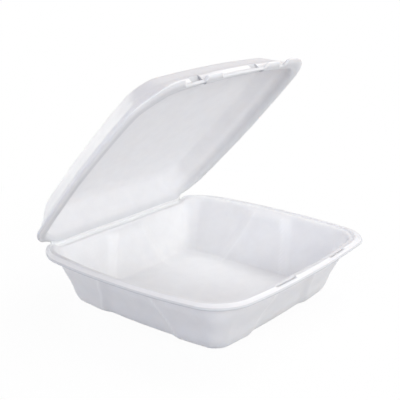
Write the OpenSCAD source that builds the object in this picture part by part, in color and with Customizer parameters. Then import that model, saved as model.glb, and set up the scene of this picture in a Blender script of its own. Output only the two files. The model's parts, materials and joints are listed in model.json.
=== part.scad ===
// Hinged-lid food container in moulded foam, one open compartment, lid standing part open.
// Units are millimetres. X runs along the hinge, -Y is the locking front, +Y the hinge, Z is up.
// The origin is the middle of the tray's underside. The lid's rest pose is the photographed one.

/* [Rim outline] */
// Half of the rim's greatest width
rim_half_width = 119.5; // [100:0.5:140]
// Distance from the middle to the front edge of the rim
rim_front = 118.5; // [98:0.5:138]
// Distance from the middle to the back of the rim outline, before the hinge edge cuts it
rim_back = 110.5; // [105:0.5:116]
// How far each side bulges outward at its middle
side_bow = 11; // [2:0.5:13]
// How far the front bulges outward at its middle
front_bow = 7.5; // [1:0.5:9]
// Rim radius at the two front corners
front_corner_r = 26; // [22:0.5:38]
// Rim radius at the two corners beside the hinge
back_corner_r = 47; // [40:0.5:52]
// Radius at the top of the wall in the two corners beside the hinge
wall_corner_r = 26; // [20:0.5:34]

/* [Tray] */
// Height of the tray to the top of its rim ridge
tray_height = 53; // [40:0.5:62]
// Inward slope of the tray wall from rim edge to foot
tray_draft = 29; // [25:0.5:34]
// Thickness of the moulded foam
wall = 2.2; // [1.8:0.1:2.8]
// Corner radius at the foot of the tray
foot_corner_r = 10.5; // [9:0.5:18]
// How far the tray's back wall stands in at its top
tray_back_set = 7; // [5:0.5:9]

/* [Flange] */
// Width of the flange from its edge to the wall
flange_width = 9; // [7.5:0.1:10.5]
// How far the tray's outer lip droops
lip_drop = 1.6; // [0.8:0.1:2]
// How far the lid's outer lip lifts when shut
lip_lift = 2.2; // [0.8:0.1:2.6]

/* [Pressed-in panels] */
// Depth of the pressed-in panel in each tray wall
panel_depth = 2.8; // [1.5:0.1:3.6]
// Half width of a panel's flat part below the rim
panel_half_top = 16; // [8:0.5:20]
// Half width of a panel's flat part at the foot
panel_half_foot = 34; // [26:0.5:38]
// Width of the sloping step at a panel's end
panel_step = 10; // [6:0.5:12]

/* [Lid] */
// Height of the lid's dome above the rim
lid_depth = 27.5; // [22:0.5:34]
// Inward slope of the lid from rim edge to the flat top
lid_draft = 25.5; // [23:0.5:32]
// How far the lid's back wall stands in at the hinge
lid_back_set = 3; // [2.6:0.1:4]
// Size of the soft shoulder between the lid's wall and its flat top
lid_shoulder = 11; // [7:0.5:13]
// Corner radius at the edge of the lid's flat top
lid_corner_r = 22; // [16:0.5:28]
// Angle the lid stands open from shut in the rest pose
lid_open_deg = 46.5; // [35:0.5:75]

/* [Hinge] */
// Half length of the folding hinge strip
hinge_half_length = 80; // [70:1:82]
// Distance from the middle to the folding line
hinge_place = 100.5; // [99.8:0.1:101.2]
// Distance from the cut back edge of each half to the folding line
hinge_reach = 2.6; // [2.2:0.1:3]
// How far the folding line lies below the rim's ridge
hinge_drop = 5; // [2:0.5:6]
// Thickness of the hinge strip
hinge_thickness = 1; // [0.7:0.1:1.4]
// Clearance between the two halves at the folding line
hinge_gap = 0.35; // [0.25:0.05:0.5]

/* [Locks] */
// Half length of the stretch cut out of the lid's front flange
lock_half_length = 69.5; // [60:0.5:74]
// Left end of the first locking tab
tab_one_x = -44; // [-50:0.5:-40]
// Width of the first locking tab
tab_one_width = 20; // [16:0.5:24]
// Left end of the second locking tab
tab_two_x = 37; // [30:0.5:40]
// Width of the second locking tab
tab_two_width = 21; // [16:0.5:24]
// Length of the hole cut beside each tab
hole_length = 13; // [9:0.5:14]
// Height of the hole cut beside each tab
hole_height = 5; // [4.5:0.1:6]
// Length of each slot in the tray's front flange
slot_length = 27; // [24:0.5:30]
// Width of each slot in the tray's front flange
slot_width = 3; // [2:0.1:3.5]

/* [Hidden] */
$fn = 48;
foam = [0.96, 0.97, 0.97];

// Small sizes that follow the foam rather than a choice
clear = 0.35;
edge_round = 0.6;
fillet = 2.6;
foot_round = 3.4;
cut_left = 1.6;
cut_high = 9;
hole_overlap = 1.1;
web_overlap = 0.8;
drop_run = 14;

// Shares of the sizes above
arc_steps = 12;
half_share = 0.5;
bow_foot_share = 0.5;
turn_share = 0.5;
slot_place_share = 0.4;
web_drop_share = 0.9;
web_thick_share = 0.75;
web_rise_share = 0.7;

// Ring of points for one level: inset from the rim edge, height, corner share, panel share.
// The back stands in by the set where the wall meets the flange, less towards the wall's far end.
function span_x(inset) = rim_half_width - side_bow - inset;
function span_f(inset) = rim_front - front_bow - inset;
function span_b(inset, draft, set) =
    rim_back - inset - set * edge_share(inset) * (1 - depth_share(inset, draft));
function blend(a, b, t) = a + (b - a) * t;
function clamp01(t) = max(0, min(1, t));
function smooth01(t) = clamp01(t) * clamp01(t) * (3 - 2 * clamp01(t));
function edge_share(inset) = clamp01(inset / flange_width);
function depth_share(inset, draft) = clamp01((inset - flange_width) / (draft - flange_width));
function front_r(inset, draft, last) =
    blend(front_corner_r - inset * turn_share, last, depth_share(inset, draft));
function back_r(inset, draft, last) =
    blend(blend(back_corner_r, wall_corner_r, edge_share(inset)), last, depth_share(inset, draft));

// Share of the hinge's drop at one place: full along the hinge, none on the sides and corners
function drop_share(x, y) =
    smooth01((hinge_half_length + drop_run - abs(x)) / drop_run)
        * smooth01((y - hinge_place + 2 * drop_run) / drop_run);

// Corner arc centred at c, radius r, from angle a0 over a quarter turn, without its end points
function arc_pts(cx, cy, r, a0) =
    [for (i = [1 : arc_steps - 1])
        [cx + r * cos(a0 + i * 90 / arc_steps), cy + r * sin(a0 + i * 90 / arc_steps), 0, 0]];

// Signed stations along a side of half length e with panel crest c and foot f: [place, panel share]
function stations(e, c, f) =
    [[-e, 0], [-(e + c) / 2, 0], [-c, 0], [-(c + f) / 2, half_share], [-f, 1], [-f / 2, 1], [0, 1],
     [f / 2, 1], [f, 1], [(c + f) / 2, half_share], [c, 0], [(e + c) / 2, 0], [e, 0]];

// Plain outline with the panel direction kept: [x, y, push x, push y]
function outline(inset, draft, last, t, m, set) =
    let (a = span_x(inset), f = span_f(inset), b = span_b(inset, draft, set),
         rf = front_r(inset, draft, last),
         rb = back_r(inset, draft, last),
         foot = blend(panel_half_top, panel_half_foot, t),
         crest = foot + panel_step,
         mid = (b - rb - (f - rf)) / 2,
         e = (b - rb + (f - rf)) / 2)
    concat(
        [for (s = stations(a - rf, crest, foot)) [s[0], -f, 0, m * s[1]]],
        arc_pts(a - rf, -(f - rf), rf, -90),
        [for (s = stations(e, crest, foot)) [a, s[0] + mid, -m * s[1], 0]],
        arc_pts(a - rb, b - rb, rb, 0),
        [for (s = stations(a - rb, crest, foot)) [-s[0], b, 0, -m * s[1]]],
        arc_pts(-(a - rb), b - rb, rb, 90),
        [for (s = stations(e, crest, foot)) [-a, -s[0] + mid, m * s[1], 0]],
        arc_pts(-(a - rf), -(f - rf), rf, 180));

// Bowed ring at height z, with the panels pushed in by depth d and the hinge side lowered
function ring(inset, z, draft, last, t, d, set, drop) =
    let (a = span_x(inset), f = span_f(inset), b = span_b(inset, draft, set),
         share = blend(1, bow_foot_share, depth_share(inset, draft)),
         ws = side_bow * share / a, wf = front_bow * share / f,
         yc = (b - f) / 2, yl = (b + f) / 2)
    [for (p = outline(inset, draft, last, t, 1, set))
        let (u = (p[1] - yc) / yl, v = p[0] / a,
             x = p[0] * (1 + ws * (1 - u * u)),
             y = p[1] < 0 ? p[1] * (1 + wf * (1 - v * v)) : p[1])
        [x + p[2] * d, y + p[3] * d, z - drop * drop_share(x, y)]];

// Loft through rings listed from the outside middle to the inside middle
module loft(rings, first, last) {
    n = len(rings[0]);
    m = len(rings);
    pts = concat([first], [for (r = rings) for (p = r) p], [last]);
    faces = concat(
        [for (k = [0 : n - 1]) [0, 1 + k, 1 + (k + 1) % n]],
        [for (j = [0 : m - 2]) for (k = [0 : n - 1])
            [1 + j * n + k, 1 + (j + 1) * n + k, 1 + (j + 1) * n + (k + 1) % n]],
        [for (j = [0 : m - 2]) for (k = [0 : n - 1])
            [1 + j * n + k, 1 + (j + 1) * n + (k + 1) % n, 1 + j * n + (k + 1) % n]],
        [for (k = [0 : n - 1]) [1 + m * n, 1 + (m - 1) * n + (k + 1) % n, 1 + (m - 1) * n + k]]);
    polyhedron(points = pts, faces = faces, convexity = 8);
}

// Tray profile from the outside foot over the rim to the inside foot. Each row gives the shares
// of tray_in_sizes in the inset, of tray_up_sizes in the height, and of the panel's depth.
tray_top = tray_height;
tray_in_sizes = [flange_width, tray_draft - flange_width, wall, foot_round, fillet, edge_round];
tray_up_sizes = [tray_top, wall, lip_drop, foot_round, fillet, edge_round];
tray_row_shares = [
    [[1, 1, 0, 1, 0, 0], [0, 0, 0, 0, 0, 0], 1],
    [[1, 1, 0, 0.35, 0, 0], [0, 0, 0, 0.12, 0, 0], 1],
    [[1, 1, 0, -0.1, 0, 0], [0, 0, 0, 0.5, 0, 0], 1],
    [[1, 1, 0, -0.45, 0, 0], [0, 0, 0, 1.1, 0, 0], 1],
    [[1, 0.67, 0, 0, 0, 0], [0.36, 0, 0, 0, 0, 0], 0.92],
    [[1, 0.35, 0, 0, 0, 0], [0.64, 0, 0, 0, 0, 0], 0.84],
    [[1, 0, 0, 0, 1, 0], [1, -1, 0, 0, -1.8, 0], 0.75],
    [[1, 0, 0, 0, 0.3, 0], [1, -1, 0, 0, -0.7, 0], 0],
    [[1, 0, 0, 0, -0.5, 0], [1, -1, 0, 0, -0.2, 0], 0],
    [[0.6, 0, 0, 0, 0, 0], [1, -0.9, 0, 0, 0, 0], 0],
    [[0, 0, 0, 0, 0, 1], [1, -0.9, -1, 0, 0, 0], 0],
    [[0, 0, 0, 0, 0, 0], [1, -0.65, -1, 0, 0, 0], 0],
    [[0, 0, 0, 0, 0, 0], [1, -0.25, -1, 0, 0, 0], 0],
    [[0, 0, 0, 0, 0, 1], [1, 0, -1, 0, 0, 0], 0],
    [[0.6, 0, 0, 0, 0, -2.4], [1, 0, -0.25, 0, 0, 0], 0],
    [[0.6, 0, 0, 0, 0, -1], [1, 0, 0, 0, 0, 0], 0],
    [[0.6, 0, 0, 0, 0, 1], [1, 0, 0, 0, 0, 0], 0],
    [[0.6, 0, 0, 0, 0, 2.4], [1, 0, 0, 0, 0, -1.6], 0],
    [[1, 0, 0, 0, 0, 1], [1, 0, 0, 0, 0, -2], 0],
    [[1, 0, 0, 0, 0.9, 0], [1, 0, 0, 0, -0.55, -2], 0],
    [[1, 0, 1.08, 0, 0.6, 0], [1, 0, 0, 0, -1.5, -2], 0.75],
    [[1, 0.35, 1.08, 0, 0, 0], [0.64, 0, 0, 0, 0, 0], 0.84],
    [[1, 0.67, 1.08, 0, 0, 0], [0.36, 0, 0, 0, 0, 0], 0.92],
    [[1, 1, 1.08, -0.1, 0, 0], [0, 1, 0, 0.8, 0, 0], 1],
    [[1, 1, 1.08, 0.35, 0, 0], [0, 1, 0, 0.22, 0, 0], 1],
    [[1, 1, 1.08, 1, 0, 0], [0, 1, 0, 0, 0, 0], 1]];

function tray_t(z) = clamp01(1 - z / (tray_top - wall - fillet));

module tray_shell() {
    loft([for (r = tray_row_shares)
            let (inset = r[0] * tray_in_sizes, z = r[1] * tray_up_sizes)
            ring(inset, z, tray_draft, foot_corner_r, tray_t(z), panel_depth * r[2],
                tray_back_set, hinge_drop * z / tray_top)],
        [0, 0, 0], [0, 0, wall]);
}

// Half of the hinge strip, from the cut back edge towards the folding line
axis_y = hinge_place;
axis_z = tray_top - hinge_drop + clear / 2;
hinge_edge_y = axis_y - hinge_reach;
web_start_y = hinge_edge_y - web_overlap;
web_end_y = axis_y - hinge_gap;
web_lift = hinge_gap * web_rise_share;
web_thick = wall * web_thick_share;

module strip(points) {
    rotate([90, 0, 90])
        translate([0, 0, -hinge_half_length])
            linear_extrude(height = 2 * hinge_half_length)
                polygon(points);
}

module tray_web() {
    z = tray_top - hinge_drop - lip_drop * web_drop_share;
    strip([
        [web_start_y, z - web_thick],
        [web_end_y, axis_z - web_lift - hinge_thickness],
        [web_end_y, axis_z - web_lift],
        [web_start_y, z]]);
}

// All that lies behind the straight hinge edge
module back_cut() {
    translate([-rim_half_width, hinge_edge_y, 0])
        cube([2 * rim_half_width, rim_back, tray_top + lid_depth]);
}

// Slot in the tray's front flange that takes one locking tab
module slot_cut(x) {
    translate([x, slot_width - rim_front + flange_width * slot_place_share, tray_top - cut_high / 2])
        mirror([0, 1, 0])
            cube([slot_length, slot_width, cut_high]);
}

module tray() {
    color(foam)
    difference() {
        union() {
            difference() {
                tray_shell();
                back_cut();
            }
            tray_web();
        }
        slot_cut(tab_one_x - (slot_length - tab_one_width) / 2);
        slot_cut(tab_two_x - (slot_length - tab_two_width) / 2);
    }
}

// Lid profile in the shut position, from the outside middle over the rim to the inside middle.
// Each row gives the shares of lid_in_sizes in the inset and of lid_up_sizes in the height.
lid_in_sizes = [flange_width, lid_draft - flange_width, lid_shoulder, wall, fillet, edge_round];
lid_up_sizes = [lid_depth, wall, fillet, lip_lift];
lid_row_shares = [
    [[1, 1, 1.6, 0, 0, 0], [1, 0, 0, 0]],
    [[1, 1, 0.55, 0, 0, 0], [0.99, 0, 0, 0]],
    [[1, 1, 0.05, 0, 0, 0], [0.955, 0, 0, 0]],
    [[1, 1, -0.38, 0, 0, 0], [0.88, 0, 0, 0]],
    [[1, 0.56, 0, 0, 0, 0], [0.73, 0, 0, 0]],
    [[1, 0.33, 0, 0, 0, 0], [0.5, 0, 0, 0]],
    [[1, 0.11, 0, 0, 0, 0], [0.33, 0, 0, 0]],
    [[1, 0, 0, 0, 0.4, 0], [0, 1, 0.9, 0]],
    [[1, 0, 0, 0, -0.5, 0], [0, 1, 0.1, 0]],
    [[0.72, 0, 0, 0, 0, 0], [0, 0.95, 0, 0]],
    [[0, 0, 0, 0, 0, 1], [0, 0.9, 0, 1]],
    [[0, 0, 0, 0, 0, 0], [0, 0.65, 0, 1]],
    [[0, 0, 0, 0, 0, 0], [0, 0.25, 0, 1]],
    [[0, 0, 0, 0, 0, 1], [0, 0, 0, 1]],
    [[0.72, 0, 0, 0, 0, 0], [0, 0, 0, 0]],
    [[1, 0, 0, 0.6, 0, 0], [0, 0, 0, 0]],
    [[1, 0, 0, 1, 0.3, 0], [0, 0, 0.7, 0]],
    [[1, 0.11, 0, 0.94, 0, 0], [0.33, -0.4, 0, 0]],
    [[1, 0.33, 0, 0.83, 0, 0], [0.5, -0.56, 0, 0]],
    [[1, 0.56, 0, 0.82, 0, 0], [0.73, -0.58, 0, 0]],
    [[1, 1, -0.38, 0.65, 0, 0], [0.88, -0.81, 0, 0]],
    [[1, 1, 0.05, 0.3, 0, 0], [0.955, -0.97, 0, 0]],
    [[1, 1, 0.55, 0.1, 0, 0], [0.99, -1, 0, 0]],
    [[1, 1, 1.6, 0, 0, 0], [1, -1, 0, 0]]];

module lid_shell() {
    rows = [for (i = [len(lid_row_shares) - 1 : -1 : 0]) lid_row_shares[i]];
    translate([0, 0, tray_top + clear])
        loft([for (r = rows)
                let (z = r[1] * lid_up_sizes)
                ring(r[0] * lid_in_sizes, z, lid_draft, lid_corner_r, 0, 0,
                    lid_back_set, hinge_drop * (1 - z / lid_depth))],
            [0, 0, lid_depth - wall], [0, 0, lid_depth]);
}

module lid_web() {
    z = tray_top - hinge_drop + clear;
    strip([
        [web_start_y, z],
        [web_end_y, axis_z + web_lift],
        [web_end_y, axis_z + web_lift + hinge_thickness],
        [web_start_y, z + web_thick]]);
}

// Stretch of the front flange cut away between two places along the front
module flange_cut(x0, x1) {
    translate([x0, -rim_front - flange_width, tray_top - wall])
        cube([x1 - x0, 2 * flange_width - cut_left, cut_high]);
}

// Hole through the wall root beside a tab
module lock_hole(x) {
    translate([x, flange_width - rim_front - hole_overlap, tray_top - wall])
        cube([hole_length, hole_height, hole_height + wall]);
}

module lid_shut() {
    difference() {
        union() {
            difference() {
                lid_shell();
                back_cut();
            }
            lid_web();
        }
        flange_cut(-lock_half_length, tab_one_x);
        flange_cut(tab_one_x + tab_one_width, tab_two_x);
        flange_cut(tab_two_x + tab_two_width, lock_half_length);
        lock_hole(tab_one_x - hole_length);
        lock_hole(tab_two_x - hole_length);
    }
}

module lid() {
    color(foam)
    translate([0, axis_y, axis_z])
        rotate([-lid_open_deg, 0, 0])
            translate([0, -axis_y, -axis_z])
                lid_shut();
}

tray();
lid();
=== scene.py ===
"""Looks of a hinged-lid food container in moulded foam, on a pale studio floor."""

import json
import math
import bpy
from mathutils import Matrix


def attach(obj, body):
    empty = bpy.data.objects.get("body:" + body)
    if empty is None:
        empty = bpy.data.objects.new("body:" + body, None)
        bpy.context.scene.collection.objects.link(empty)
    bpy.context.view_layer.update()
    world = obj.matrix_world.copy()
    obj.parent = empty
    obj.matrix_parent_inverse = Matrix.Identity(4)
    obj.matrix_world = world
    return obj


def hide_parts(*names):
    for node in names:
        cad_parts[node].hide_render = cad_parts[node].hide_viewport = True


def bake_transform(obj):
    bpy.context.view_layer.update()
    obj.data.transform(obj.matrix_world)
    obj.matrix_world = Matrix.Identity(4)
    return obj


bl_info = {
    "name": "Foam food container",
    "version": (1, 0, 0),
    "blender": (4, 5, 0),
    "location": "View3D > Sidebar > Foam container",
    "description": "Builds the moulded foam tray, lid and folding hinge strip with their studio",
    "category": "Add Mesh",
}

import bmesh
import bpy
from bpy.props import FloatProperty, FloatVectorProperty, IntProperty, PointerProperty
from bpy.types import Operator, Panel, PropertyGroup
from mathutils import Matrix, Vector, noise

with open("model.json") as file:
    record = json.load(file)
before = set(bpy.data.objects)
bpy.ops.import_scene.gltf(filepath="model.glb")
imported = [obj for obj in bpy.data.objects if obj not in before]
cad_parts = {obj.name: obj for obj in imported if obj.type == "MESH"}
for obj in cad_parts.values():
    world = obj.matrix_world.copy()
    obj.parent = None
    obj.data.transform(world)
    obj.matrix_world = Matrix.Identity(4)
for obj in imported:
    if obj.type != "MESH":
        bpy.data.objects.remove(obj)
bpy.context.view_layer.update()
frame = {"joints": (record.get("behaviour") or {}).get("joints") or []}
HINGE = frame["joints"][0]
OPEN_LIMIT = HINGE["range_deg"][0]

MM = 0.001


def length(name, mm, text, low=0.0, high=300.0):
    """A length property that is shown in the scene's own unit."""
    return FloatProperty(name=name, description=text, default=mm * MM, min=low * MM,
                         max=high * MM, subtype="DISTANCE", unit="LENGTH", precision=5)


def share(name, value, text):
    """A property between 0 and 1."""
    return FloatProperty(name=name, description=text, default=value, min=0.0, max=1.0,
                         subtype="FACTOR")


class FoamSizes(PropertyGroup):
    """Sizes of the moulded foam, most of them the same as in the part's source.

    The wall corner, the lip's lift, the lid's softer rim and bend, and the unevenness are the
    scene's own, and follow the soft sheet in the photograph."""
    rim_half_width: length("Rim half width", 119.5, "Half of the rim's greatest width")
    rim_front: length("Rim front", 118.5, "From the middle to the front edge of the rim")
    rim_back: length("Rim back", 110.5, "From the middle to the back of the uncut rim outline")
    side_bow: length("Side bow", 11, "Outward bulge of each side at its middle")
    front_bow: length("Front bow", 7.5, "Outward bulge of the front at its middle")
    front_corner_r: length("Front corner", 26, "Rim radius at the front corners")
    back_corner_r: length("Back corner", 47, "Rim radius beside the hinge")
    wall_corner_r: length("Wall corner", 16, "Radius at the wall's top beside the hinge")
    tray_height: length("Tray height", 53, "Height of the tray to its rim ridge")
    tray_draft: length("Tray draft", 29, "Inward slope of the tray wall to its foot")
    wall: length("Wall", 2.2, "Thickness of the moulded foam")
    foot_corner_r: length("Foot corner", 10.5, "Corner radius at the foot of the tray")
    tray_back_set: length("Tray back", 7, "How far the tray's back wall stands in at its top")
    flange_width: length("Flange", 9, "Width of the flange to the wall")
    lip_drop: length("Lip drop", 1.6, "Droop of the tray's outer lip")
    lip_lift: length("Lip lift", 1.1, "Lift of the lid's outer lip when shut")
    lid_bow_less: length("Lid bow less", 2, "How much less the soft lid's sides bulge")
    lid_lip_in: length("Lid lip in", 2.2, "How much narrower the lid's left flange is")
    lid_bend: length("Lid corner bend", 5, "How far the soft left front corner is bent in")
    lid_bend_reach: length("Lid bend reach", 40, "How far the bend reaches along both sides")
    lid_back_r: length("Lid rim back", 41, "Rim radius of the lid beside the hinge")
    panel_depth: length("Panel depth", 2.8, "Depth of the pressed-in wall panels")
    panel_half_top: length("Panel top", 16, "Half width of a panel's flat below the rim")
    panel_half_foot: length("Panel foot", 34, "Half width of a panel's flat at the foot")
    panel_step: length("Panel step", 10, "Width of the sloping step at a panel's end")
    lid_depth: length("Lid depth", 27.5, "Height of the lid's dome above the rim")
    lid_draft: length("Lid draft", 25.5, "Inward slope of the lid to its flat top")
    lid_back_set: length("Lid back", 3, "How far the lid's back wall stands in at the hinge")
    lid_shoulder: length("Lid shoulder", 11, "Size of the lid's soft shoulder")
    lid_corner_r: length("Lid corner", 22, "Corner radius of the lid's flat top")
    lid_open: FloatProperty(name="Lid open", description="Angle of the lid at rest",
                            default=math.radians(-OPEN_LIMIT), subtype="ANGLE", unit="ROTATION")
    hinge_half: length("Hinge half length", 80, "Half length of the folding strip")
    hinge_place: length("Hinge place", 100.5, "From the middle to the folding line")
    hinge_reach: length("Hinge reach", 2.6, "From the cut back edge to the folding line")
    hinge_drop: length("Hinge drop", 5, "How far the folding line lies below the ridge")
    hinge_thick: length("Hinge thickness", 1, "Thickness of the folding strip")
    lock_half: length("Lock stretch", 69.5, "Half length of the cut-back front flange")
    tab_one_x: length("First tab", -44, "Left end of the first locking tab", low=-120)
    tab_one_width: length("First tab width", 20, "Width of the first locking tab")
    tab_two_x: length("Second tab", 37, "Left end of the second locking tab", low=-120)
    tab_two_width: length("Second tab width", 21, "Width of the second locking tab")
    hole_length: length("Hole length", 13, "Length of the hole beside each tab")
    slot_length: length("Slot length", 27, "Length of each slot in the tray's flange")
    unevenness: length("Unevenness", 0.35, "Soft waviness of the moulded sheet")
    rows_between: IntProperty(name="Rows between", description="Extra rows between profile rows",
                              default=4, min=1, max=8)


class FoamLooks(PropertyGroup):
    """Colours and finish of the foam, and the colours of its painted highlight and painted shade.
    """
    foam: FloatVectorProperty(name="Foam", description="Colour of the white foam",
                              subtype="COLOR", size=3, default=(0.875, 0.875, 0.885), min=0, max=1)
    shade: FloatVectorProperty(name="Thick foam", description="Colour where the cells lie dense",
                               subtype="COLOR", size=3, default=(0.82, 0.82, 0.835), min=0, max=1)
    # Painted highlight colour, for the light lines on the panels' steps and the lightened folding
    # strip
    pressed: FloatVectorProperty(name="Painted highlight", description="Colour of pressed lines",
                                 subtype="COLOR", size=3, default=(0.97, 0.97, 0.975), min=0, max=1)
    # Painted shade colour, for the lid's root line, the dark rim lines, the flange's grey and the
    # dark edges of the holes and cut-back front
    painted_shade: FloatVectorProperty(name="Root line", description="Colour of the lid's root line",
                                subtype="COLOR", size=3, default=(0.50, 0.515, 0.54), min=0, max=1)
    skin_roughness: share("Skin roughness", 0.42, "Roughness of the smooth moulded skin")
    cut_roughness: share("Cut roughness", 0.75, "Roughness of the trimmed edge")
    glow: share("Glow", 0.7, "How much light passes into the foam")
    floor: FloatVectorProperty(name="Floor", description="Colour of the studio floor",
                               subtype="COLOR", size=3, default=(0.42, 0.42, 0.44), min=0, max=1)


# Profile tables, the same as in the part's source. A tray row holds the shares of the inset sizes,
# of the height sizes, and of the panel depth; a lid row ends with its share of the lip's lift.
TRAY_ROW_SHARES = (
    ((1, 1, 0, 1, 0, 0), (0, 0, 0, 0, 0, 0), 1),
    ((1, 1, 0, 0.35, 0, 0), (0, 0, 0, 0.12, 0, 0), 1),
    ((1, 1, 0, -0.1, 0, 0), (0, 0, 0, 0.5, 0, 0), 1),
    ((1, 1, 0, -0.45, 0, 0), (0, 0, 0, 1.1, 0, 0), 1),
    ((1, 0.67, 0, 0, 0, 0), (0.36, 0, 0, 0, 0, 0), 0.92),
    ((1, 0.35, 0, 0, 0, 0), (0.64, 0, 0, 0, 0, 0), 0.84),
    ((1, 0, 0, 0, 1, 0), (1, -1, 0, 0, -1.8, 0), 0.75),
    ((1, 0, 0, 0, 0.3, 0), (1, -1, 0, 0, -0.7, 0), 0),
    ((1, 0, 0, 0, -0.5, 0), (1, -1, 0, 0, -0.2, 0), 0),
    ((0.6, 0, 0, 0, 0, 0), (1, -0.9, 0, 0, 0, 0), 0),
    ((0, 0, 0, 0, 0, 1), (1, -0.9, -1, 0, 0, 0), 0),
    ((0, 0, 0, 0, 0, 0), (1, -0.65, -1, 0, 0, 0), 0),
    ((0, 0, 0, 0, 0, 0), (1, -0.25, -1, 0, 0, 0), 0),
    ((0, 0, 0, 0, 0, 1), (1, 0, -1, 0, 0, 0), 0),
    ((0.6, 0, 0, 0, 0, -2.4), (1, 0, -0.25, 0, 0, 0), 0),
    ((0.6, 0, 0, 0, 0, -1), (1, 0, 0, 0, 0, 0), 0),
    ((0.6, 0, 0, 0, 0, 1), (1, 0, 0, 0, 0, 0), 0),
    ((0.6, 0, 0, 0, 0, 2.4), (1, 0, 0, 0, 0, -1.6), 0),
    ((1, 0, 0, 0, 0, 1), (1, 0, 0, 0, 0, -2), 0),
    ((1, 0, 0, 0, 0.9, 0), (1, 0, 0, 0, -0.55, -2), 0),
    ((1, 0, 1.08, 0, 0.6, 0), (1, 0, 0, 0, -1.5, -2), 0.75),
    ((1, 0.35, 1.08, 0, 0, 0), (0.64, 0, 0, 0, 0, 0), 0.84),
    ((1, 0.67, 1.08, 0, 0, 0), (0.36, 0, 0, 0, 0, 0), 0.92),
    ((1, 1, 1.08, -0.1, 0, 0), (0, 1, 0, 0.8, 0, 0), 1),
    ((1, 1, 1.08, 0.35, 0, 0), (0, 1, 0, 0.22, 0, 0), 1),
    ((1, 1, 1.08, 1, 0, 0), (0, 1, 0, 0, 0, 0), 1),
)
LID_ROW_SHARES = (
    ((1, 1, 1.6, 0, 0, 0), (1, 0, 0), 0),
    ((1, 1, 0.55, 0, 0, 0), (0.99, 0, 0), 0),
    ((1, 1, 0.05, 0, 0, 0), (0.955, 0, 0), 0),
    ((1, 1, -0.38, 0, 0, 0), (0.88, 0, 0), 0),
    ((1, 0.56, 0, 0, 0, 0), (0.73, 0, 0), 0),
    ((1, 0.33, 0, 0, 0, 0), (0.5, 0, 0), 0),
    ((1, 0.11, 0, 0, 0, 0), (0.33, 0, 0), 0),
    ((1, 0, 0, 0, 0.4, 0), (0, 1, 0.9), 0),
    ((1, 0, 0, 0, -0.5, 0), (0, 1, 0.1), 0),
    ((0.72, 0, 0, 0, 0, 0), (0, 0.95, 0), 0),
    ((0, 0, 0, 0, 0, 1), (0, 0.9, 0), 1),
    ((0, 0, 0, 0, 0, 0), (0, 0.65, 0), 1),
    ((0, 0, 0, 0, 0, 0), (0, 0.25, 0), 1),
    ((0, 0, 0, 0, 0, 1), (0, 0, 0), 1),
    ((0.72, 0, 0, 0, 0, 0), (0, 0, 0), 0),
    ((1, 0, 0, 0.6, 0, 0), (0, 0, 0), 0),
    ((1, 0, 0, 1, 0.3, 0), (0, 0, 0.7), 0),
    ((1, 0.11, 0, 0.94, 0, 0), (0.33, -0.4, 0), 0),
    ((1, 0.33, 0, 0.83, 0, 0), (0.5, -0.56, 0), 0),
    ((1, 0.56, 0, 0.82, 0, 0), (0.73, -0.58, 0), 0),
    ((1, 1, -0.38, 0.65, 0, 0), (0.88, -0.81, 0), 0),
    ((1, 1, 0.05, 0.3, 0, 0), (0.955, -0.97, 0), 0),
    ((1, 1, 0.55, 0.1, 0, 0), (0.99, -1, 0), 0),
    ((1, 1, 1.6, 0, 0, 0), (1, -1, 0), 0),
)
# Roundings, clearance and cuts, the same as in the part's source
FILLET = 2.6 * MM
FOOT_ROUND = 3.4 * MM
EDGE_ROUND = 0.6 * MM
CLEAR = 0.35 * MM
CUT_LEFT = 1.6 * MM
DROP_RUN = 14 * MM
TURN_SHARE = 0.5
BOW_FOOT_SHARE = 0.5

# Steps of the mesh: corners, sides, the places kept free round a mark, and the large flat faces
CORNER_STEPS = 22
SIDE_STEP = 1.9 * MM
LEAST_SIDE_STEPS = 8
MARK_STEP = 0.8 * MM
MARK_FREE = 0.7 * MM
FLAT_SHARES = (0.82, 0.6, 0.38, 0.18)

# Soft waviness: a slow and a quick wave, from a fixed seed so that each run gives the same sheet
WAVE_SEED = 7
SLOW_WAVE = 45 * MM
QUICK_WAVE = 13 * MM
QUICK_SHIFT = (7, 3, 5)
QUICK_SHARE = 0.22
FOOT_STILL = 4 * MM
FLOOR_WAVE_SHARE = 0.6
STRIP_WAVE_SHARE = 0.4

# Slots in the tray's flange, and holes, tabs and cut-back edge of the lid's front
SLOT_INSETS = (3.9 * MM, 6.9 * MM)
HOLE_INSETS_INSIDE = (8.4 * MM, 12.2 * MM)
HOLE_INSETS_OUTSIDE = (8.4 * MM, 11.6 * MM)
HOLE_LENGTH_SHARE = 0.85
TAB_SHORT = 2.2 * MM
TAB_SOFT = 0.9 * MM
CUT_SLOPE_SHARE = 0.1
BEND_SHARE = 0.7

# The wavy lid lies a little higher and drops a little less, so that it stays clear when shut
LID_DROP_SHARE = 0.95
LID_RAISE = 0.08 * MM

# Folding strip: reach under the rims and past the fold's ends, steps, thickness along its path, and
# the painted light that lightens the whole strip
STRIP_SEAT = 0.9 * MM
STRIP_PAST = 8 * MM
STRIP_STEPS = 90
STRIP_PATH_STEPS = 6
STRIP_THICK_SHARES = (0.9, 0.85, 0.6, 0.85, 0.9)
STRIP_PAINTED_LIGHT = 0.9

# Painted highlight lines on the panels' steps and painted shade at the rims, the lid's flange root,
# the holes and the cut-back front, even on all sides of the object
LINE_FACE = 0.3
LINE_EDGE_INNER = 0.6
LINE_REACH = 0.24
LINE_PANEL_SHARE = 0.8
FLANGE_SHADE = 0.03
FINE_SHADE = 0.16
TRAY_RIM_SHADE = 0.55
LID_RIM_SHADE = 0.35
ROOT_SHARE = 0.3
HOLE_SHADE = 0.6
CUT_SHADE = 0.3
PAINTED_LIGHT_SHARE = 0.8
DENSE_SHARE = 0.5

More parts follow.
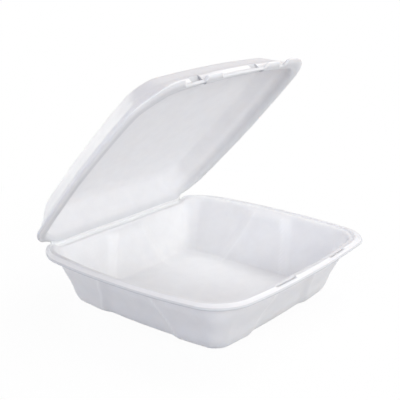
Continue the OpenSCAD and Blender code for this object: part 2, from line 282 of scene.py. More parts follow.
# Cell size and strength of the foam's relief, on the two shells and on the folding strip
SHELL_CELL, SHELL_RELIEF = 1.1 * MM, 0.35
STRIP_CELL, STRIP_RELIEF = 0.9 * MM, 0.5


def mix(a, b, t):
    """Value between a and b."""
    return a + (b - a) * t


def clamp01(t):
    """t kept between 0 and 1."""
    return max(0.0, min(1.0, t))


def smooth01(t):
    """t kept between 0 and 1, with soft ends."""
    t = clamp01(t)
    return t * t * (3 - 2 * t)


def dot(shares, sizes):
    """Sum of shares times sizes."""
    return sum(a * b for a, b in zip(shares, sizes))


def curve_through(rows, between):
    """Rows with more rows between them on a smooth curve that keeps flats flat."""
    out = []
    for i in range(len(rows) - 1):
        p0, p1, p2, p3 = (rows[max(i - 1, 0)], rows[i], rows[i + 1],
                          rows[min(i + 2, len(rows) - 1)])
        span = math.dist(p1[:2], p2[:2]) or 1e-9
        before = math.dist(p0[:2], p1[:2]) or span
        after = math.dist(p2[:2], p3[:2]) or span
        for k in range(between):
            t = k / between
            h1, h2 = 2 * t ** 3 - 3 * t ** 2 + 1, 3 * t ** 2 - 2 * t ** 3
            h3, h4 = t ** 3 - 2 * t ** 2 + t, t ** 3 - t ** 2
            row = []
            for a, b, c, d in zip(p0, p1, p2, p3):
                go_in, along, go_out = (b - a) / before, (c - b) / span, (d - c) / after
                m1 = (go_in * span + along * before) / (span + before) * span
                m2 = (along * after + go_out * span) / (after + span) * span
                row.append(h1 * b + h2 * c + h3 * m1 + h4 * m2)
            out.append(tuple(row))
    out.append(rows[-1])
    return out


def side_places(half, marks):
    """Places along a side from -half to half with points close to each mark."""
    count = max(LEAST_SIDE_STEPS, int(2 * half / SIDE_STEP))
    places = {round(-half + 2 * half * i / count, 7) for i in range(count + 1)}
    keep = []
    for mark in marks:
        keep += [mark - MARK_STEP, mark, mark + MARK_STEP]
    keep = [round(k, 7) for k in keep if -half < k < half]
    places = {p for p in places if all(abs(p - k) > MARK_FREE for k in keep)
              or abs(abs(p) - half) < 1e-6}
    return sorted(places | set(keep))


class Outline:
    """The rim outline of this container at any inset, with its pressed-in panels."""

    def __init__(self, sizes, draft, last_r, back_set, side_bow, back_r, marks):
        self.s, self.draft, self.last_r, self.marks = sizes, draft, last_r, marks
        self.back_set, self.side_bow = back_set, side_bow
        self.back_r = back_r
        self.length_shares = self.stations()

    def spans(self, inset):
        """Half width, front and back distance of the straight sides at an inset."""
        s = self.s
        set_in = self.back_set * self.edge_share(inset) * (1 - self.depth_share(inset))
        return (s.rim_half_width - s.side_bow - inset, s.rim_front - s.front_bow - inset,
                s.rim_back - inset - set_in)

    def edge_share(self, inset):
        """0 at the rim's edge and 1 where the flange meets the wall."""
        return clamp01(inset / self.s.flange_width)

    def depth_share(self, inset):
        """0 at the wall's top and 1 at its foot."""
        flange = self.s.flange_width
        return clamp01((inset - flange) / (self.draft - flange))

    def radii(self, inset):
        """Front and back corner radius at an inset."""
        s, t = self.s, self.depth_share(inset)
        back = mix(self.back_r, s.wall_corner_r, self.edge_share(inset))
        return (mix(s.front_corner_r - inset * TURN_SHARE, self.last_r, t),
                mix(back, self.last_r, t))

    def drop_share(self, x, y):
        """1 along the hinge and 0 on the sides and corners, for the hinge's drop."""
        s = self.s
        return (smooth01((s.hinge_half + DROP_RUN - abs(x)) / DROP_RUN)
                * smooth01((y - s.hinge_place + 2 * DROP_RUN) / DROP_RUN))

    def stations(self):
        """Stations round the outline as (side, share along it), placed close to each mark."""
        out = []
        a, f, b = self.spans(0)
        rf, rb = self.radii(0)
        front, back, side = a - rf, a - rb, (b - rb + f - rf) / 2
        for name, half, marks in (("front", front, self.marks), ("right", side, ()),
                                  ("back", back, ()), ("left", side, ())):
            out += [(name, place / half) for place in side_places(half, marks)]
            out += [(name + "_arc", i / CORNER_STEPS) for i in range(1, CORNER_STEPS)]
        return out

    def panel_weight(self, place, t):
        """Place on a panel's end step: 0 where it starts and 1 or more on the panel's flat."""
        foot = mix(self.s.panel_half_top, self.s.panel_half_foot, t)
        return (foot + self.s.panel_step - abs(place)) / self.s.panel_step

    def ring(self, inset, z, t, push, drop):
        """Points of one level, as (x, y, z, panel weight)."""
        s = self.s
        a, f, b = self.spans(inset)
        rf, rb = self.radii(inset)
        middle, side = (b - rb - (f - rf)) / 2, (b - rb + f - rf) / 2
        bow = mix(1, BOW_FOOT_SHARE, self.depth_share(inset))
        bow_x, bow_y = self.side_bow * bow / a, s.front_bow * bow / f
        centre_y, half_y = (b - f) / 2, (b + f) / 2
        points = []
        for name, u in self.length_shares:
            weight = -1.0
            if name == "front":
                x, y = u * (a - rf), -f
                weight = self.panel_weight(x, t)
                y += push * clamp01(weight)
            elif name == "right":
                place = u * side
                x, y = a, place + middle
                weight = self.panel_weight(place, t)
                x -= push * clamp01(weight)
            elif name == "back":
                x, y = -u * (a - rb), b
                weight = self.panel_weight(x, t)
                y -= push * clamp01(weight)
            elif name == "left":
                place = -u * side
                x, y = -a, place + middle
                weight = self.panel_weight(place, t)
                x += push * clamp01(weight)
            else:
                turn = {"front_arc": -90, "right_arc": 0, "back_arc": 90, "left_arc": 180}[name]
                r = rf if name in ("front_arc", "left_arc") else rb
                angle = math.radians(turn + 90 * u)
                cx = (a - r) * (1 if name in ("front_arc", "right_arc") else -1)
                cy = b - r if name in ("right_arc", "back_arc") else -(f - r)
                x, y = cx + r * math.cos(angle), cy + r * math.sin(angle)
            v, w = x / a, (y - centre_y) / half_y
            if y < 0:
                y *= 1 + bow_y * max(0.0, 1 - v * v)
            x *= 1 + bow_x * max(0.0, 1 - w * w)
            points.append((x, y, z - drop * self.drop_share(x, y), weight))
        return points


def waviness(point, amount):
    """Soft waviness of the sheet at a point, the same on both of its faces."""
    p = Vector(point)
    slow = noise.noise_vector(p / SLOW_WAVE) * amount
    quick = noise.noise_vector(p / QUICK_WAVE + Vector(QUICK_SHIFT)) * amount * QUICK_SHARE
    return p + slow + quick


def cut_behind(mesh, point, normal):
    """Cuts away what lies behind a plane and closes the cut with flat faces."""
    work = bmesh.new()
    work.from_mesh(mesh)
    parts = work.verts[:] + work.edges[:] + work.faces[:]
    bmesh.ops.bisect_plane(work, geom=parts, plane_co=point, plane_no=normal, clear_outer=True)
    open_edges = [e for e in work.edges if e.is_boundary]
    for face in bmesh.ops.holes_fill(work, edges=open_edges, sides=0)["faces"]:
        face.smooth = False
    bmesh.ops.recalc_face_normals(work, faces=work.faces[:])
    work.to_mesh(mesh)
    work.free()


class FoamMesh:
    """Collects the points and faces of a moulded sheet with its named values."""

    def __init__(self):
        self.points, self.faces, self.flat = [], [], []
        self.values = {"cut_edge": [], "painted_light": [], "painted_shade": []}

    def add(self, point, cut_edge=0.0, painted_light=0.0, painted_shade=0.0):
        """Adds one point and gives its number."""
        self.points.append(tuple(point))
        for key, value in (("cut_edge", cut_edge), ("painted_light", painted_light), ("painted_shade", painted_shade)):
            self.values[key].append(value)
        return len(self.points) - 1

    def build(self, name, cut_at, cut_normal):
        """Makes the mesh object, cut flat behind the hinge edge, with its attributes."""
        mesh = bpy.data.meshes.new(name)
        mesh.from_pydata(self.points, [], self.faces)
        for key, values in self.values.items():
            layer = mesh.attributes.new(key, "FLOAT", "POINT")
            layer.data.foreach_set("value", values)
        flat = set(self.flat)
        for polygon in mesh.polygons:
            polygon.use_smooth = polygon.index not in flat
        if cut_at is not None:
            cut_behind(mesh, cut_at, cut_normal)
        place = mesh.attributes.new("made_at", "FLOAT_VECTOR", "POINT")
        place.data.foreach_set("vector", [c for v in mesh.vertices for c in v.co])
        mesh.validate()
        mesh.update()
        piece = bpy.data.objects.new(name, mesh)
        bpy.context.scene.collection.objects.link(piece)
        return piece


def sheet_from_rings(sheet, rings, holes):
    """Skins rings of points, closes both ends, and leaves out and lines the holes.

    Each hole is (first station, last station, outer rows, inner rows)."""
    count = len(rings[0])
    numbers = [[sheet.add(*p) for p in ring] for ring in rings]
    left_out = set()
    for k0, k1, *bands in holes:
        for j0, j1 in bands:
            left_out |= {(j, k) for j in range(j0, j1) for k in range(k0, k1)}
    for j in range(len(rings) - 1):
        for k in range(count):
            if (j, k) in left_out:
                continue
            n = (k + 1) % count
            sheet.faces.append((numbers[j][k], numbers[j + 1][k],
                                numbers[j + 1][n], numbers[j][n]))
    for ring, order in ((numbers[0], 1), (numbers[-1], -1)):
        sheet.faces.append(tuple(ring[::order]))
    for k0, k1, (a0, a1), (b0, b1) in holes:
        sides = []
        for k in (k0, k1):
            outer = [numbers[j][k] for j in range(a0, a1 + 1)]
            inner = [numbers[j][k] for j in range(b0, b1 + 1)]
            sides.append(tuple(outer + inner))
        sides[1] = sides[1][::-1]
        for k in range(k0, k1):
            sides.append((numbers[a0][k], numbers[a0][k + 1],
                          numbers[b1][k + 1], numbers[b1][k]))
            sides.append((numbers[b0][k], numbers[b0][k + 1],
                          numbers[a1][k + 1], numbers[a1][k]))
        for face in sides:
            sheet.flat.append(len(sheet.faces))
            sheet.faces.append(face)
    return sheet


def shrinking_rings(ring, height):
    """Smaller rings inside a ring, so that the large flat face can wave softly."""
    cx = sum(p[0] for p in ring) / len(ring)
    cy = sum(p[1] for p in ring) / len(ring)
    return [[(mix(cx, p[0], t), mix(cy, p[1], t), height, 0.0) for p in ring]
            for t in FLAT_SHARES]


def edge_line(step, inner):
    """Painted highlight on a panel's end step: inside its face, and on the edge that stands out."""
    face = inner * LINE_FACE * smooth01(step * 4) * smooth01((1 - step) * 4)
    edge = mix(1.0, LINE_EDGE_INNER, inner) * smooth01(1 - abs(step - inner) / LINE_REACH)
    return max(face, edge)


def flange_shade(s, inset, inner):
    """Painted shade on the tray's flange: a dark line at its trimmed edge, grey on its top and one
    fine dark line along its ridge.
    """
    rim = TRAY_RIM_SHADE * (1 - smooth01((inset - EDGE_ROUND) / EDGE_ROUND))
    if not inner:
        return rim
    top = FLANGE_SHADE * (1 - smooth01((inset - 0.8 * s.flange_width) / (0.2 * s.flange_width)))
    fine = FINE_SHADE * smooth01(1 - abs(inset - 0.62 * s.flange_width) / (0.12 * s.flange_width))
    return max(rim, top + fine)


def tray_profile(s):
    """Tray rows as (inset, height, panel share)."""
    ins = (s.flange_width, s.tray_draft - s.flange_width, s.wall, FOOT_ROUND, FILLET, EDGE_ROUND)
    ups = (s.tray_height, s.wall, s.lip_drop, FOOT_ROUND, FILLET, EDGE_ROUND)
    rows = [(dot(r[0], ins), dot(r[1], ups), r[2]) for r in TRAY_ROW_SHARES]
    return curve_through(rows, s.rows_between)


def lid_profile(s):
    """Lid rows in the shut position as (inset, height over the rim, lift share)."""
    ins = (s.flange_width, s.lid_draft - s.flange_width, s.lid_shoulder, s.wall, FILLET,
           EDGE_ROUND)
    ups = (s.lid_depth, s.wall, FILLET)
    rows = [(dot(r[0], ins), dot(r[1], ups), r[2]) for r in LID_ROW_SHARES]
    return curve_through(rows[::-1], s.rows_between)


def station_at(outline, half, place):
    """Number of the front station nearest to a place along the front."""
    best = min((abs(u * half - place), i)
               for i, (name, u) in enumerate(outline.length_shares) if name == "front")
    return best[1]


def rows_within(rows, low, high, part):
    """First and last row whose inset lies between low and high in one part of the profile."""
    found = [j for j in part if low <= rows[j][0] <= high]
    return min(found), max(found)


def axis_point(s):
    """Middle of the folding line."""
    return Vector((0, s.hinge_place, s.tray_height - s.hinge_drop + CLEAR / 2))


def open_turn(s):
    """Turn that takes the lid from shut to its rest pose."""
    to_axis = Matrix.Translation(axis_point(s))
    return to_axis @ Matrix.Rotation(-s.lid_open, 4, "X") @ to_axis.inverted()


def build_tray(s):
    """The tray: foot, walls with their panels, flange with ridge and two slots."""
    noise.seed_set(WAVE_SEED)
    marks = []
    for x, width in ((s.tab_one_x, s.tab_one_width), (s.tab_two_x, s.tab_two_width)):
        start = x - (s.slot_length - width) / 2
        marks += [start, start + s.slot_length]
    outline = Outline(s, s.tray_draft, s.foot_corner_r, s.tray_back_set, s.side_bow,
                      s.back_corner_r, marks)
    rows = tray_profile(s)
    wall_top = s.tray_height - s.wall - FILLET
    turn = min(range(len(rows)), key=lambda j: rows[j][0])
    rings = []
    for inset, z, panel in rows:
        t = clamp01(1 - z / wall_top)
        edge = 1.0 if inset < EDGE_ROUND * 1.2 else 0.0
        drop = s.hinge_drop * z / s.tray_height
        ring = outline.ring(inset, z, t, s.panel_depth * panel, drop)
        inner = int(len(rings) > turn)
        # Painted shade on the flange's trimmed edge, top and ridge line, and painted highlight
        # lines on the panels' end steps
        shade = flange_shade(s, inset, inner) if z > s.tray_height - 3 * s.wall else 0.0
        still = s.unevenness * clamp01(z / FOOT_STILL)
        line = smooth01(panel / LINE_PANEL_SHARE)
        rings.append([(waviness(p[:3], still), edge, edge_line(p[3], inner) * line, shade)
                      for p in ring])
    foot = shrinking_rings(outline.ring(rows[0][0], 0, 1, s.panel_depth, 0), 0.0)
    floor = shrinking_rings(outline.ring(rows[-1][0], s.wall, 1, s.panel_depth, 0), s.wall)
    wave = s.unevenness * FLOOR_WAVE_SHARE
    rings = ([[(p[:3],) for p in ring] for ring in foot[::-1]] + rings
             + [[(waviness(p[:3], wave),) for p in ring] for ring in floor])
    shift = len(foot)
    half = outline.spans(0)[0] - outline.radii(0)[0]
    holes = []
    for k in range(0, len(marks), 2):
        low, high = (station_at(outline, half, m) for m in marks[k:k + 2])
        under = rows_within(rows, *SLOT_INSETS, range(turn))
        over = rows_within(rows, *SLOT_INSETS, range(turn + s.rows_between, len(rows)))
        holes.append((low, high, tuple(j + shift for j in under),
                      tuple(j + shift for j in over)))
    sheet = sheet_from_rings(FoamMesh(), rings, holes)
    return sheet.build("tray_foam", Vector((0, s.hinge_place - s.hinge_reach, 0)),
                       Vector((0, 1, 0)))


def lid_root_painted_shade(s, inset, height):
    """Share of the painted shade along the root where the lid's flange meets its wall, and of the
    painted dark line at its rim.
    """
    root = smooth01((inset - 0.3 * s.flange_width) / (0.45 * s.flange_width))
    rim = LID_RIM_SHADE * (1 - smooth01((inset - EDGE_ROUND) / EDGE_ROUND))
    return rim + root * (1 - smooth01((height - 0.6 * s.wall) / (2.6 * s.wall)))


def flange_narrow(name, u):
    """How much of the left flange's narrowing shows at a station."""
    return {"left": 1.0, "left_arc": 1 - u, "back_arc": u}.get(name, 0.0)


def build_lid(s):
    """The lid: dome, flared flange, cut-back front with two tabs and two holes."""
    noise.seed_set(WAVE_SEED)
    tabs = ((s.tab_one_x, s.tab_one_width), (s.tab_two_x, s.tab_two_width))
    marks = [-s.lock_half, s.lock_half]
    for x, width in tabs:
        marks += [x - s.hole_length, x, x + width]
    outline = Outline(s, s.lid_draft, s.lid_corner_r, s.lid_back_set,
                      s.side_bow - s.lid_bow_less, s.lid_back_r, marks)
    rows = lid_profile(s)
    half = outline.spans(0)[0] - outline.radii(0)[0]
    cut_inset = s.flange_width - CUT_LEFT

    def kept(x):
        """1 where the front flange stands, 0 where it is cut back."""
        stands = [abs(x) - s.lock_half]
        stands += [min(x - a, a + width - x) for a, width in tabs]
        return clamp01(max(stands) / TAB_SOFT * 0.5 + 0.5)

    side_x, front_y, _back_y = outline.spans(0)

    def bent(p, height):
        """The point with the lid's soft left front corner bent in."""
        t = clamp01(abs((p[0] + side_x) - (p[1] + front_y)) / s.lid_bend_reach)
        near = smooth01(1 - (p[0] + side_x + p[1] + front_y) / (3 * s.lid_bend_reach))
        push = s.lid_bend * (1 - t * t) ** 2 * near * clamp01(1 - height / s.lid_depth)
        return (p[0] + push * BEND_SHARE, p[1] + push * BEND_SHARE) + tuple(p[2:])

    base = s.tray_height + CLEAR + LID_RAISE
    turn = open_turn(s)
    front = [k for k, (name, _u) in enumerate(outline.length_shares) if name == "front"]
    narrow_shares = [flange_narrow(name, u) for name, u in outline.length_shares]
    tip = min(range(len(rows)), key=lambda j: rows[j][0])
    rings = []
    for inset, z, lift in rows:
        height = z + lift * s.lip_lift
        drop = s.hinge_drop * LID_DROP_SHARE * (1 - height / s.lid_depth)
        ring = outline.ring(inset, height, 0, 0, drop)
        shades = [0.0] * len(ring)
        if inset < s.flange_width:
            near = mix(s.lid_lip_in, s.flange_width, inset / s.flange_width)
            narrow = outline.ring(near, height, 0, 0, drop)
            ring = [tuple(mix(a, b, m) for a, b in zip(wide, slim))
                    for wide, slim, m in zip(ring, narrow, narrow_shares)]
        if inset < cut_inset:
            back = outline.ring(mix(cut_inset, inset, CUT_SLOPE_SHARE), z, 0, 0, 0)
            short = outline.ring(mix(TAB_SHORT, s.flange_width, inset / s.flange_width),
                                 height, 0, 0, drop)
            for k in front:
                if abs(ring[k][0]) < s.lock_half - TAB_SOFT:
                    ring[k] = short[k]
                m = kept(ring[k][0])
                # Painted shade on the cut-back front edge, which faces the light
                shades[k] = CUT_SHADE * (1 - m)
                ring[k] = tuple(mix(b, a, m) for a, b in zip(ring[k], back[k]))
        ring = [bent(p, height) for p in ring]
        edge = 1.0 if inset < EDGE_ROUND * 1.2 else 0.0
        # Painted shade along the flange's root, standing in for the shadow in that valley
        root_painted_shade = ROOT_SHARE * lid_root_painted_shade(s, inset, height) if len(rings) < tip else 0.0
        rings.append([(turn @ waviness((p[0], p[1], p[2] + base), s.unevenness), edge, 0.0,
                       max(root_painted_shade, shade)) for p, shade in zip(ring, shades)])
    inside = shrinking_rings(outline.ring(rows[0][0], rows[0][1], 0, 0, 0), rows[0][1])
    outside = shrinking_rings(outline.ring(rows[-1][0], rows[-1][1], 0, 0, 0), rows[-1][1])
    ends = [[[(turn @ waviness((p[0], p[1], p[2] + base), s.unevenness), 0.0, 0.0)
              for p in ring] for ring in group] for group in (inside[::-1], outside)]
    rings = ends[0] + rings + ends[1]
    shift = len(inside)
    holes = []
    for x, _width in tabs:
        low = station_at(outline, half, x - HOLE_LENGTH_SHARE * s.hole_length)
        high = station_at(outline, half, x)
        inner = rows_within(rows, *HOLE_INSETS_INSIDE, range(tip))
        outer = rows_within(rows, *HOLE_INSETS_OUTSIDE, range(tip, len(rows)))
        holes.append((low, high, tuple(j + shift for j in inner),
                      tuple(j + shift for j in outer)))
    # Painted shade round the two holes, standing in for the shadow inside them
    for low, high, *bands in holes:
        for first, last in bands:
            for j in range(first, last + 1):
                for k in range(low, high + 1):
                    rings[j][k] = tuple(rings[j][k][:3]) + (HOLE_SHADE,)
    sheet = sheet_from_rings(FoamMesh(), rings, holes)
    return sheet.build("lid_foam", turn @ Vector((0, s.hinge_place - s.hinge_reach, base)),
                       turn.to_3x3() @ Vector((0, 1, 0)))


def build_strip(s):
    """The folding strip between the two rims, pressed thin at its middle line, and lightened all
    over with painted light.
    """
    noise.seed_set(WAVE_SEED)
    axis = axis_point(s)
    turn = open_turn(s)
    start_y = s.hinge_place - s.hinge_reach - STRIP_SEAT
    thick = s.hinge_thick
    top = s.tray_height - 2 * EDGE_ROUND
    under = s.tray_height + CLEAR

    def edges(x):
        """Middle of the strip at its tray end and its lid end, at a place along the hinge."""
        drop = s.hinge_drop * smooth01((s.hinge_half + DROP_RUN - abs(x)) / DROP_RUN)
        return (Vector((0, start_y, top - drop - thick * 0.9)),
                turn @ Vector((0, start_y, under - drop + thick * 0.95)))

    tray_edge, lid_edge = edges(0)
    tray_mid, lid_mid = tray_edge.lerp(axis, 0.5), lid_edge.lerp(axis, 0.5)
    fold = Vector((0, -0.5 * thick, 0.1 * thick))
    sheet = FoamMesh()
    reach = s.hinge_half + STRIP_PAST
    rings = []
    for i in range(STRIP_STEPS + 1):
        x = mix(-reach, reach, i / STRIP_STEPS)
        ends = edges(x)
        path = (ends[0], ends[0].lerp(axis, 0.5), axis + fold, ends[1].lerp(axis, 0.5), ends[1])
        line = curve_through([(p.y, p.z, t) for p, t in zip(path, STRIP_THICK_SHARES)],
                             STRIP_PATH_STEPS)
        near, far = [], []
        for k, (y, z, share_thick) in enumerate(line):
            ahead, behind = line[min(k + 1, len(line) - 1)], line[max(k - 1, 0)]
            along = Vector((0, ahead[0] - behind[0], ahead[1] - behind[1])).normalized()
            normal = Vector((0, -along.z, along.y)) * thick * share_thick
            middle = Vector((x, y, z))
            near.append(middle + normal)
            far.append(middle - normal)
        # Painted light over the whole strip, lightening its shaded fold
        rings.append([sheet.add(waviness(p, s.unevenness * STRIP_WAVE_SHARE), 0.0, STRIP_PAINTED_LIGHT)
                      for p in near + far[::-1]])
    for i in range(STRIP_STEPS):
        for k in range(len(rings[0])):
            n = (k + 1) % len(rings[0])
            sheet.faces.append((rings[i][k], rings[i][n], rings[i + 1][n], rings[i + 1][k]))
    for ring in (rings[0][::-1], rings[-1]):
        sheet.flat.append(len(sheet.faces))
        sheet.faces.append(tuple(ring))
    return sheet.build("hinge_strip", None, None), tray_mid, lid_mid


class NodeKit:
    """Short calls for adding shader nodes and their links."""

    def __init__(self, tree):
        self.tree = tree

    def node(self, kind, **settings):
        """Adds a node. Settings named in_N set its input number N."""
        new = self.tree.nodes.new(kind)
        for key, value in settings.items():
            if key.startswith("in_"):
                new.inputs[int(key[3:])].default_value = value
            else:
                setattr(new, key, value)
        return new

    def link(self, out, into):
        """Joins an output to an input."""
        self.tree.links.new(out, into)

    def maths(self, operation, a, b=0.5, clamp=False):
        """A Math node from two sockets or numbers."""
        new = self.node("ShaderNodeMath", operation=operation, use_clamp=clamp)
        for i, value in enumerate((a, b)):
            if isinstance(value, (int, float)):
                new.inputs[i].default_value = value
            else:
                self.link(value, new.inputs[i])
        return new.outputs[0]

    def span(self, value, low, high, to_low=0.0, to_high=1.0):
        """A Map Range node that clamps."""
        new = self.node("ShaderNodeMapRange", in_1=low, in_2=high, in_3=to_low, in_4=to_high)
        self.link(value, new.inputs[0])
        return new.outputs[0]

    def blend(self, factor, a, b):
        """A colour between a and b."""
        new = self.node("ShaderNodeMix", data_type="RGBA")
        for socket, value in ((new.inputs[0], factor), (new.inputs[6], a), (new.inputs[7], b)):
            if isinstance(value, (int, float, tuple)):
                socket.default_value = value
            else:
                self.link(value, socket)
        return new.outputs[2]


def colour4(colour):
    """A colour property as red, green, blue and full alpha."""
    return tuple(colour) + (1.0,)


def foam_skin_group():
    """Shared group: dense patches and the fine relief of a moulded foam sheet."""
    name = "Foam skin"
    if name in bpy.data.node_groups:
        return bpy.data.node_groups[name]
    tree = bpy.data.node_groups.new(name, "ShaderNodeTree")
    for label, default in (("Cell size", 0.0011), ("Patch size", 0.012)):
        socket = tree.interface.new_socket(label, in_out="INPUT", socket_type="NodeSocketFloat")
        socket.default_value = default
    tree.interface.new_socket("Place", in_out="INPUT", socket_type="NodeSocketVector")
    for label in ("Dense", "Height"):
        tree.interface.new_socket(label, in_out="OUTPUT", socket_type="NodeSocketFloat")
    kit = NodeKit(tree)
    into = kit.node("NodeGroupInput")
    out = kit.node("NodeGroupOutput")
    cell_scale = kit.maths("DIVIDE", 1.0, into.outputs["Cell size"])
    patch_scale = kit.maths("DIVIDE", 1.0, into.outputs["Patch size"])
    cells = kit.node("ShaderNodeTexVoronoi", feature="F1")
    kit.link(into.outputs["Place"], cells.inputs["Vector"])
    kit.link(cell_scale, cells.inputs["Scale"])
    cell_height = kit.span(cells.outputs["Distance"], 0.1, 0.75, 1.0, 0.0)
    patches = kit.node("ShaderNodeTexNoise")
    patches.inputs["Detail"].default_value = 4.0
    patches.inputs["Roughness"].default_value = 0.6
    kit.link(into.outputs["Place"], patches.inputs["Vector"])
    kit.link(patch_scale, patches.inputs["Scale"])
    dense = kit.span(patches.outputs[0], 0.35, 0.7)
    fine = kit.node("ShaderNodeTexNoise")
    fine.inputs["Detail"].default_value = 2.0
    kit.link(into.outputs["Place"], fine.inputs["Vector"])
    kit.link(kit.maths("MULTIPLY", patch_scale, 4.0), fine.inputs["Scale"])
    height = kit.maths("ADD", kit.maths("MULTIPLY", cell_height, 0.25),
                       kit.maths("MULTIPLY", fine.outputs[0], 0.75))
    kit.link(dense, out.inputs["Dense"])
    kit.link(height, out.inputs["Height"])
    return tree


def foam_material(name, looks, cell_size, relief_strength):
    """White moulded foam with painted highlight lines, painted shade and a rougher trimmed edge."""
    material = bpy.data.materials.new(name)
    material.use_nodes = True
    tree = material.node_tree
    tree.nodes.clear()
    kit = NodeKit(tree)
    out = kit.node("ShaderNodeOutputMaterial")
    skin = kit.node("ShaderNodeBsdfPrincipled")
    kit.link(skin.outputs[0], out.inputs[0])
    place = kit.node("ShaderNodeAttribute", attribute_name="made_at")
    painted_light = kit.node("ShaderNodeAttribute", attribute_name="painted_light")
    cut = kit.node("ShaderNodeAttribute", attribute_name="cut_edge")
    painted_shade = kit.node("ShaderNodeAttribute", attribute_name="painted_shade")
    group = kit.node("ShaderNodeGroup")
    group.node_tree = foam_skin_group()
    group.inputs["Cell size"].default_value = cell_size
    kit.link(place.outputs["Vector"], group.inputs["Place"])
    dense = kit.maths("MULTIPLY", group.outputs["Dense"], DENSE_SHARE)
    base = kit.blend(dense, colour4(looks.foam), colour4(looks.shade))
    # Painted highlight on the panels' step lines and on the folding strip
    pressed = kit.maths("MULTIPLY", painted_light.outputs["Fac"], PAINTED_LIGHT_SHARE, clamp=True)
    base = kit.blend(pressed, base, colour4(looks.pressed))
    # Painted shade on the dark lines and grey places, where shadow falls
    base = kit.blend(painted_shade.outputs["Fac"], base, colour4(looks.painted_shade))
    kit.link(base, skin.inputs["Base Color"])
    roughness = kit.node("ShaderNodeMix", data_type="FLOAT")
    roughness.inputs[2].default_value = looks.skin_roughness
    roughness.inputs[3].default_value = looks.cut_roughness
    kit.link(kit.maths("ADD", cut.outputs["Fac"],
                       kit.maths("MULTIPLY", group.outputs["Dense"], 0.15), clamp=True),
             roughness.inputs[0])
    kit.link(roughness.outputs[0], skin.inputs["Roughness"])
    skin.inputs["IOR"].default_value = 1.45
    skin.inputs["Specular IOR Level"].default_value = 0.35
    skin.inputs["Subsurface Weight"].default_value = looks.glow
    skin.inputs["Subsurface Radius"].default_value = (1.0, 0.95, 0.9)
    skin.inputs["Subsurface Scale"].default_value = 1.8 * MM
    relief = kit.node("ShaderNodeBump")
    relief.inputs["Strength"].default_value = relief_strength
    relief.inputs["Distance"].default_value = 0.3 * MM
    kit.link(group.outputs["Height"], relief.inputs["Height"])
    kit.link(relief.outputs[0], skin.inputs["Normal"])
    return material


def studio_floor_material(looks):
    """Floor that the camera sees as white paper with the object's soft shadow."""
    material = bpy.data.materials.new("studio_floor_paper")
    material.use_nodes = True
    tree = material.node_tree
    tree.nodes.clear()
    kit = NodeKit(tree)
    out = kit.node("ShaderNodeOutputMaterial")
    paper = kit.node("ShaderNodeBsdfDiffuse")
    white = kit.node("ShaderNodeEmission")
    white.inputs["Color"].default_value = (1, 1, 1, 1)
    white.inputs["Strength"].default_value = 1.0
    mixed = kit.node("ShaderNodeMixShader")
    path = kit.node("ShaderNodeLightPath")
    seen = kit.maths("ADD", path.outputs["Is Camera Ray"], path.outputs["Is Glossy Ray"])
    seen = kit.maths("ADD", seen, path.outputs["Is Transmission Ray"], clamp=True)
    kit.link(kit.blend(seen, colour4(looks.floor), (1.0, 1.0, 1.0, 1.0)), paper.inputs["Color"])
    place = kit.node("ShaderNodeTexCoord")
    away = kit.node("ShaderNodeVectorMath", operation="LENGTH")
    kit.link(place.outputs["Object"], away.inputs[0])
    white_share = kit.span(away.outputs["Value"], SHADOW_REACH[0], SHADOW_REACH[1],
                           WHITE_SHARE, 1.0)
    kit.link(kit.maths("MULTIPLY", seen, white_share), mixed.inputs[0])
    kit.link(paper.outputs[0], mixed.inputs[1])
    kit.link(white.outputs[0], mixed.inputs[2])
    kit.link(mixed.outputs[0], out.inputs[0])
    return material


# Share of plain white that the camera sees on the floor near the object, and where it grows to 1
WHITE_SHARE = 0.94
SHADOW_REACH = (0.14, 0.42)

# Camera of the photograph: place in metres, its axes, and its lens on a 36 mm sensor
CAMERA_AT = (-0.55205, -0.44756, 0.31372)
CAMERA_RIGHT = (0.63004, -0.77656, -0.00285)
CAMERA_UP = (0.23523, 0.18735, 0.95371)
CAMERA_BACK = (-0.74008, -0.60154, 0.30071)
CAMERA_LENS = 76.0

# Lamps: name, place, size, power in watts, colour
LAMPS = (
    ("soft_front", (0.0, -1.449, 0.468), 0.9, 12.0, (0.97, 1.0, 0.99)),
    ("soft_front_right_high", (0.71, -0.71, 1.195), 0.9, 3.9, (1.0, 0.99, 0.85)),
    ("soft_right_high", (1.004, 0.0, 1.195), 0.9, 8.5, (0.98, 1.0, 1.0)),
    ("soft_left", (-1.449, 0.0, 0.468), 0.9, 9.8, (0.9, 0.95, 1.0)),
    ("soft_back", (0.0, 1.449, 0.468), 0.9, 7.4, (0.97, 1.0, 0.89)),
)
LAMPS_AIM = (0, 0, 0.08)

# Light and tint that the sky gives the object, while the camera sees it white
WORLD_GREY = 0.301
SKY_TINT = (0.987, 0.89, 1.0, 1.0)

# Half size of the floor, and how far it lies below the object's underside
FLOOR_HALF = 6.0
FLOOR_DROP = 0.2 * MM


def aim(obj, target):
    """Turns a lamp or camera towards a point."""
    obj.rotation_euler = (Vector(target) - obj.location).to_track_quat("-Z", "Y").to_euler()


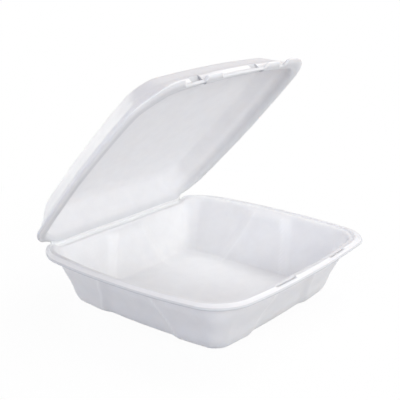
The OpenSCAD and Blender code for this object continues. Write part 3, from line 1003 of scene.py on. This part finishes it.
def build_studio(looks):
    """Floor, lamps, sky and camera."""
    mesh = bpy.data.meshes.new("studio_floor")
    half = FLOOR_HALF
    mesh.from_pydata([(-half, -half, 0), (half, -half, 0), (half, half, 0), (-half, half, 0)],
                     [], [(0, 1, 2, 3)])
    floor = bpy.data.objects.new("studio_floor", mesh)
    floor.location.z = -FLOOR_DROP
    mesh.materials.append(studio_floor_material(looks))
    bpy.context.scene.collection.objects.link(floor)
    for name, place, size, power, colour in LAMPS:
        lamp = bpy.data.lights.new(name, "AREA")
        lamp.shape, lamp.size, lamp.energy, lamp.color = "DISK", size, power, colour
        obj = bpy.data.objects.new(name, lamp)
        obj.location = place
        bpy.context.scene.collection.objects.link(obj)
        aim(obj, LAMPS_AIM)
    world = bpy.data.worlds.new("studio_sky")
    bpy.context.scene.world = world
    world.use_nodes = True
    tree = world.node_tree
    tree.nodes.clear()
    kit = NodeKit(tree)
    out = kit.node("ShaderNodeOutputWorld")
    sky = kit.node("ShaderNodeBackground")
    path = kit.node("ShaderNodeLightPath")
    tint = kit.blend(path.outputs["Is Camera Ray"], SKY_TINT, (1.0, 1.0, 1.0, 1.0))
    kit.link(tint, sky.inputs["Color"])
    strength = kit.maths("MAXIMUM", path.outputs["Is Camera Ray"], WORLD_GREY)
    kit.link(strength, sky.inputs["Strength"])
    kit.link(sky.outputs[0], out.inputs[0])
    camera = bpy.data.cameras.new("photo_camera")
    camera.lens, camera.sensor_width, camera.sensor_fit = CAMERA_LENS, 36.0, "HORIZONTAL"
    camera.clip_start, camera.clip_end = 0.01, 30.0
    eye = bpy.data.objects.new("photo_camera", camera)
    turn = Matrix((CAMERA_RIGHT, CAMERA_UP, CAMERA_BACK)).transposed().to_4x4()
    eye.matrix_world = Matrix.Translation(CAMERA_AT) @ turn
    bpy.context.scene.collection.objects.link(eye)
    bpy.context.scene.camera = eye
    bpy.context.scene.view_settings.view_transform = "Standard"


class FOAMBOX_OT_tray(Operator):
    """Build the moulded tray over its solid"""
    bl_idname = "foambox.tray"
    bl_label = "Foam tray"

    def execute(self, context):
        scene = context.scene
        piece = build_tray(scene.foam_sizes)
        piece.data.materials.append(foam_material("tray_foam_skin", scene.foam_looks,
                                                  SHELL_CELL, SHELL_RELIEF))
        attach(piece, "tray")
        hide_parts("tray")
        return {"FINISHED"}


class FOAMBOX_OT_lid(Operator):
    """Build the moulded lid with its tabs over its solid"""
    bl_idname = "foambox.lid"
    bl_label = "Foam lid"

    def execute(self, context):
        scene = context.scene
        piece = build_lid(scene.foam_sizes)
        piece.data.materials.append(foam_material("lid_foam_skin", scene.foam_looks,
                                                  SHELL_CELL, SHELL_RELIEF))
        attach(piece, "lid")
        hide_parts("lid")
        return {"FINISHED"}


class FOAMBOX_OT_strip(Operator):
    """Build the folding strip that joins tray and lid"""
    bl_idname = "foambox.strip"
    bl_label = "Hinge strip"

    def execute(self, context):
        scene = context.scene
        piece, start, end = build_strip(scene.foam_sizes)
        piece.data.materials.append(foam_material("hinge_foam_skin", scene.foam_looks,
                                                  STRIP_CELL, STRIP_RELIEF))
        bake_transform(piece)
        return {"FINISHED"}


class FOAMBOX_OT_studio(Operator):
    """Build the pale floor, the soft lamps and the camera"""
    bl_idname = "foambox.studio"
    bl_label = "Studio"

    def execute(self, context):
        build_studio(context.scene.foam_looks)
        return {"FINISHED"}


class FOAMBOX_PT_panel(Panel):
    """Lists the pieces of the foam container"""
    bl_idname = "FOAMBOX_PT_panel"
    bl_label = "Foam container"
    bl_space_type = "VIEW_3D"
    bl_region_type = "UI"
    bl_category = "Foam container"

    def draw(self, context):
        layout = self.layout
        for kind in (FOAMBOX_OT_tray, FOAMBOX_OT_lid, FOAMBOX_OT_strip, FOAMBOX_OT_studio):
            layout.operator(kind.bl_idname)
        for group in (context.scene.foam_sizes, context.scene.foam_looks):
            box = layout.box()
            for key in group.__annotations__:
                box.prop(group, key)


CLASSES = (FoamSizes, FoamLooks, FOAMBOX_OT_tray, FOAMBOX_OT_lid, FOAMBOX_OT_strip,
           FOAMBOX_OT_studio, FOAMBOX_PT_panel)


def register():
    """Adds the classes and the two groups of settings."""
    for kind in CLASSES:
        bpy.utils.register_class(kind)
    bpy.types.Scene.foam_sizes = PointerProperty(type=FoamSizes)
    bpy.types.Scene.foam_looks = PointerProperty(type=FoamLooks)


def unregister():
    """Takes them away again."""
    del bpy.types.Scene.foam_looks
    del bpy.types.Scene.foam_sizes
    for kind in reversed(CLASSES):
        bpy.utils.unregister_class(kind)


def main():
    """Builds every piece and the studio."""
    register()
    bpy.ops.foambox.tray()
    bpy.ops.foambox.lid()
    bpy.ops.foambox.strip()
    bpy.ops.foambox.studio()
    bpy.context.view_layer.update()


if __name__ == "__main__":
    main()
